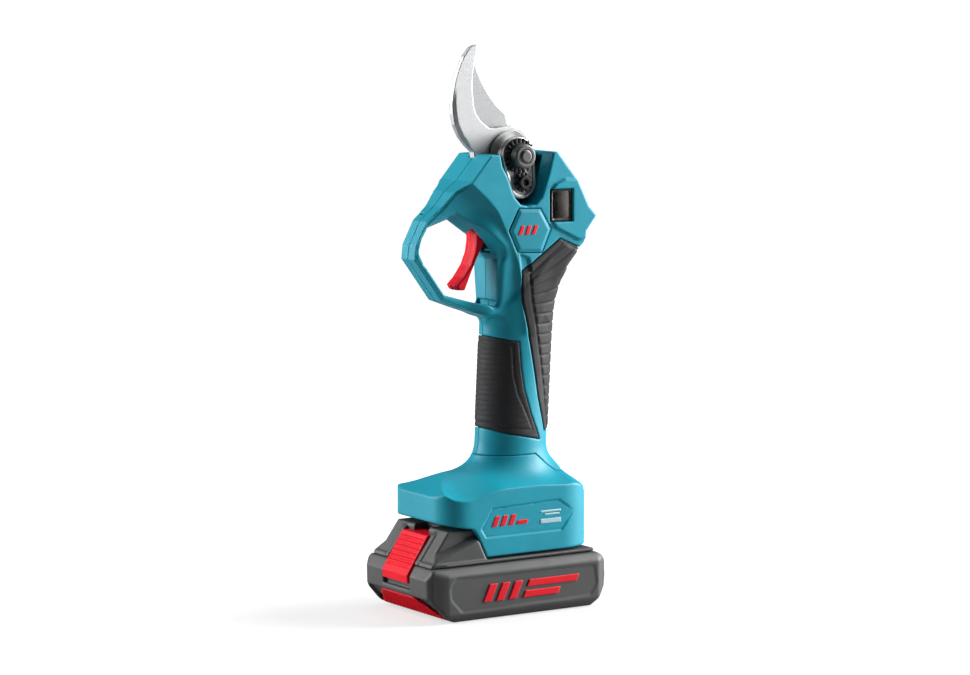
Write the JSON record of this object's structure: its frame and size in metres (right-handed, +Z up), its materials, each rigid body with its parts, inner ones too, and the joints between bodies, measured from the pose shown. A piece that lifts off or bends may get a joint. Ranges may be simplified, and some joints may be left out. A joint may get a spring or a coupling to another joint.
{
  "type": "battery electric pruner",
  "caption": "One-hand bypass pruner: hooked fixed blade, powered moving blade, trigger in a closed guard, ribbed grips, slide-on battery under a foot.",
  "frame": {"origin": "centre of the battery's underside, on the joint plane of the two half shells", "axes": "+Z up along the handle, -X the front (trigger side), -Y the tool's right side, which carries the pivot nut"},
  "size_m": [0.1252, 0.075, 0.32],
  "materials": {
    "teal": "satin",
    "rubber": "matte",
    "black_steel": "black oxide",
    "blade_steel": "ground",
    "dark_steel": "machined",
    "cast_aluminium": "as cast, polished edge",
    "brass": "machined",
    "black": "matte",
    "charcoal": "fine texture",
    "red": "semi gloss",
    "board": "matte",
    "cell_wrap": "shrink film"
  },
  "bodies": {
    "tool": {"housing_right": "teal", "housing_left": "teal", "front_grip": "rubber", "rear_grip": "rubber", "badge_right": "teal", "badge_left": "teal", "strap_slot_liner": "black_steel", "shell_screw_1": "black_steel", "shell_screw_2": "black_steel", "shell_screw_3": "black_steel", "shell_screw_4": "black_steel", "shell_screw_5": "black_steel", "shell_screw_6": "black_steel", "fixed_blade": "blade_steel", "blade_seat": "cast_aluminium", "nut_washer": "black_steel", "pivot_nut": "dark_steel", "pivot_bolt": "dark_steel", "lock_gear": "black_steel", "lock_screw": "black_steel", "gearbox_case": "cast_aluminium", "gearbox_cap": "cast_aluminium", "shaft_bearing": "dark_steel", "motor_can": "dark_steel", "motor_end_cap": "black", "motor_magnet_right": "black_steel", "motor_magnet_left": "black_steel", "trigger_pin": "dark_steel", "trigger_switch": "black", "battery_foot": "teal", "terminal_block": "black", "terminal_blade_1": "brass", "terminal_blade_2": "brass", "terminal_blade_3": "brass", "control_board": "board"},
    "moving_blade": {"moving_blade": "dark_steel", "blade_sector": "dark_steel"},
    "carrier": {"planet_carrier": "dark_steel", "bevel_pinion": "dark_steel"},
    "planet_1": {"planet_gear_1": "brass"},
    "planet_2": {"planet_gear_2": "brass"},
    "planet_3": {"planet_gear_3": "brass"},
    "rotor": {"sun_gear": "brass", "motor_rotor": "dark_steel"},
    "trigger": {"trigger": "red"},
    "plunger": {"switch_plunger": "charcoal"},
    "battery": {"battery_case": "charcoal", "battery_lid": "charcoal", "cell_1": "cell_wrap", "cell_2": "cell_wrap", "cell_3": "cell_wrap", "cell_4": "cell_wrap", "cell_5": "cell_wrap", "cell_board": "board", "battery_trim": "red", "button_spring": "dark_steel"},
    "button": {"release_button": "red"}
  },
  "joints": [
    {"name": "blade_swing", "type": "hinge", "parent": "tool", "child": "moving_blade", "pos_m": [0.0165, 0, 0.2575], "axis": [0, 1, 0], "range_deg": [0, 50]},
    {"name": "carrier_turn", "type": "hinge", "parent": "tool", "child": "carrier", "pos_m": [0.0165, 0, 0.184], "axis": [0, 0, 1], "range_deg": [0, 200]},
    {"name": "rotor_turn", "type": "hinge", "parent": "tool", "child": "rotor", "pos_m": [0.0165, 0, 0.134], "axis": [0, 0, 1], "range_deg": [0, 900]},
    {"name": "planet_1_turn", "type": "hinge", "parent": "carrier", "child": "planet_1", "pos_m": [0.02325, 0, 0.176], "axis": [0, 0, 1], "range_deg": [-560, 0]},
    {"name": "planet_2_turn", "type": "hinge", "parent": "carrier", "child": "planet_2", "pos_m": [0.01312, 0.00585, 0.176], "axis": [0, 0, 1], "range_deg": [-560, 0]},
    {"name": "planet_3_turn", "type": "hinge", "parent": "carrier", "child": "planet_3", "pos_m": [0.01312, -0.00585, 0.176], "axis": [0, 0, 1], "range_deg": [-560, 0]},
    {"name": "trigger_pull", "type": "hinge", "parent": "tool", "child": "trigger", "pos_m": [-0.0035, 0, 0.221], "axis": [0, -1, 0], "range_deg": [0, 10]},
    {"name": "plunger_push", "type": "slide", "parent": "tool", "child": "plunger", "axis": [1, 0, 0], "range_m": [0, 0.00148]},
    {"name": "battery_slide", "type": "slide", "parent": "tool", "child": "battery", "axis": [-1, 0, 0], "range_m": [0, 0.068]},
    {"name": "button_press", "type": "slide", "parent": "battery", "child": "button", "axis": [0, 0, -1], "range_m": [0, 0.003], "deforming": ["button_spring"]}
  ],
  "couplings": [
    {"joint": "carrier_turn", "follows": "blade_swing", "ratio": 4},
    {"joint": "rotor_turn", "follows": "blade_swing", "ratio": 18},
    {"joint": "planet_1_turn", "follows": "blade_swing", "ratio": -11.2},
    {"joint": "planet_2_turn", "follows": "blade_swing", "ratio": -11.2},
    {"joint": "planet_3_turn", "follows": "blade_swing", "ratio": -11.2},
    {"joint": "plunger_push", "follows": "trigger_pull", "m_per_rad": 0.0085}
  ]
}
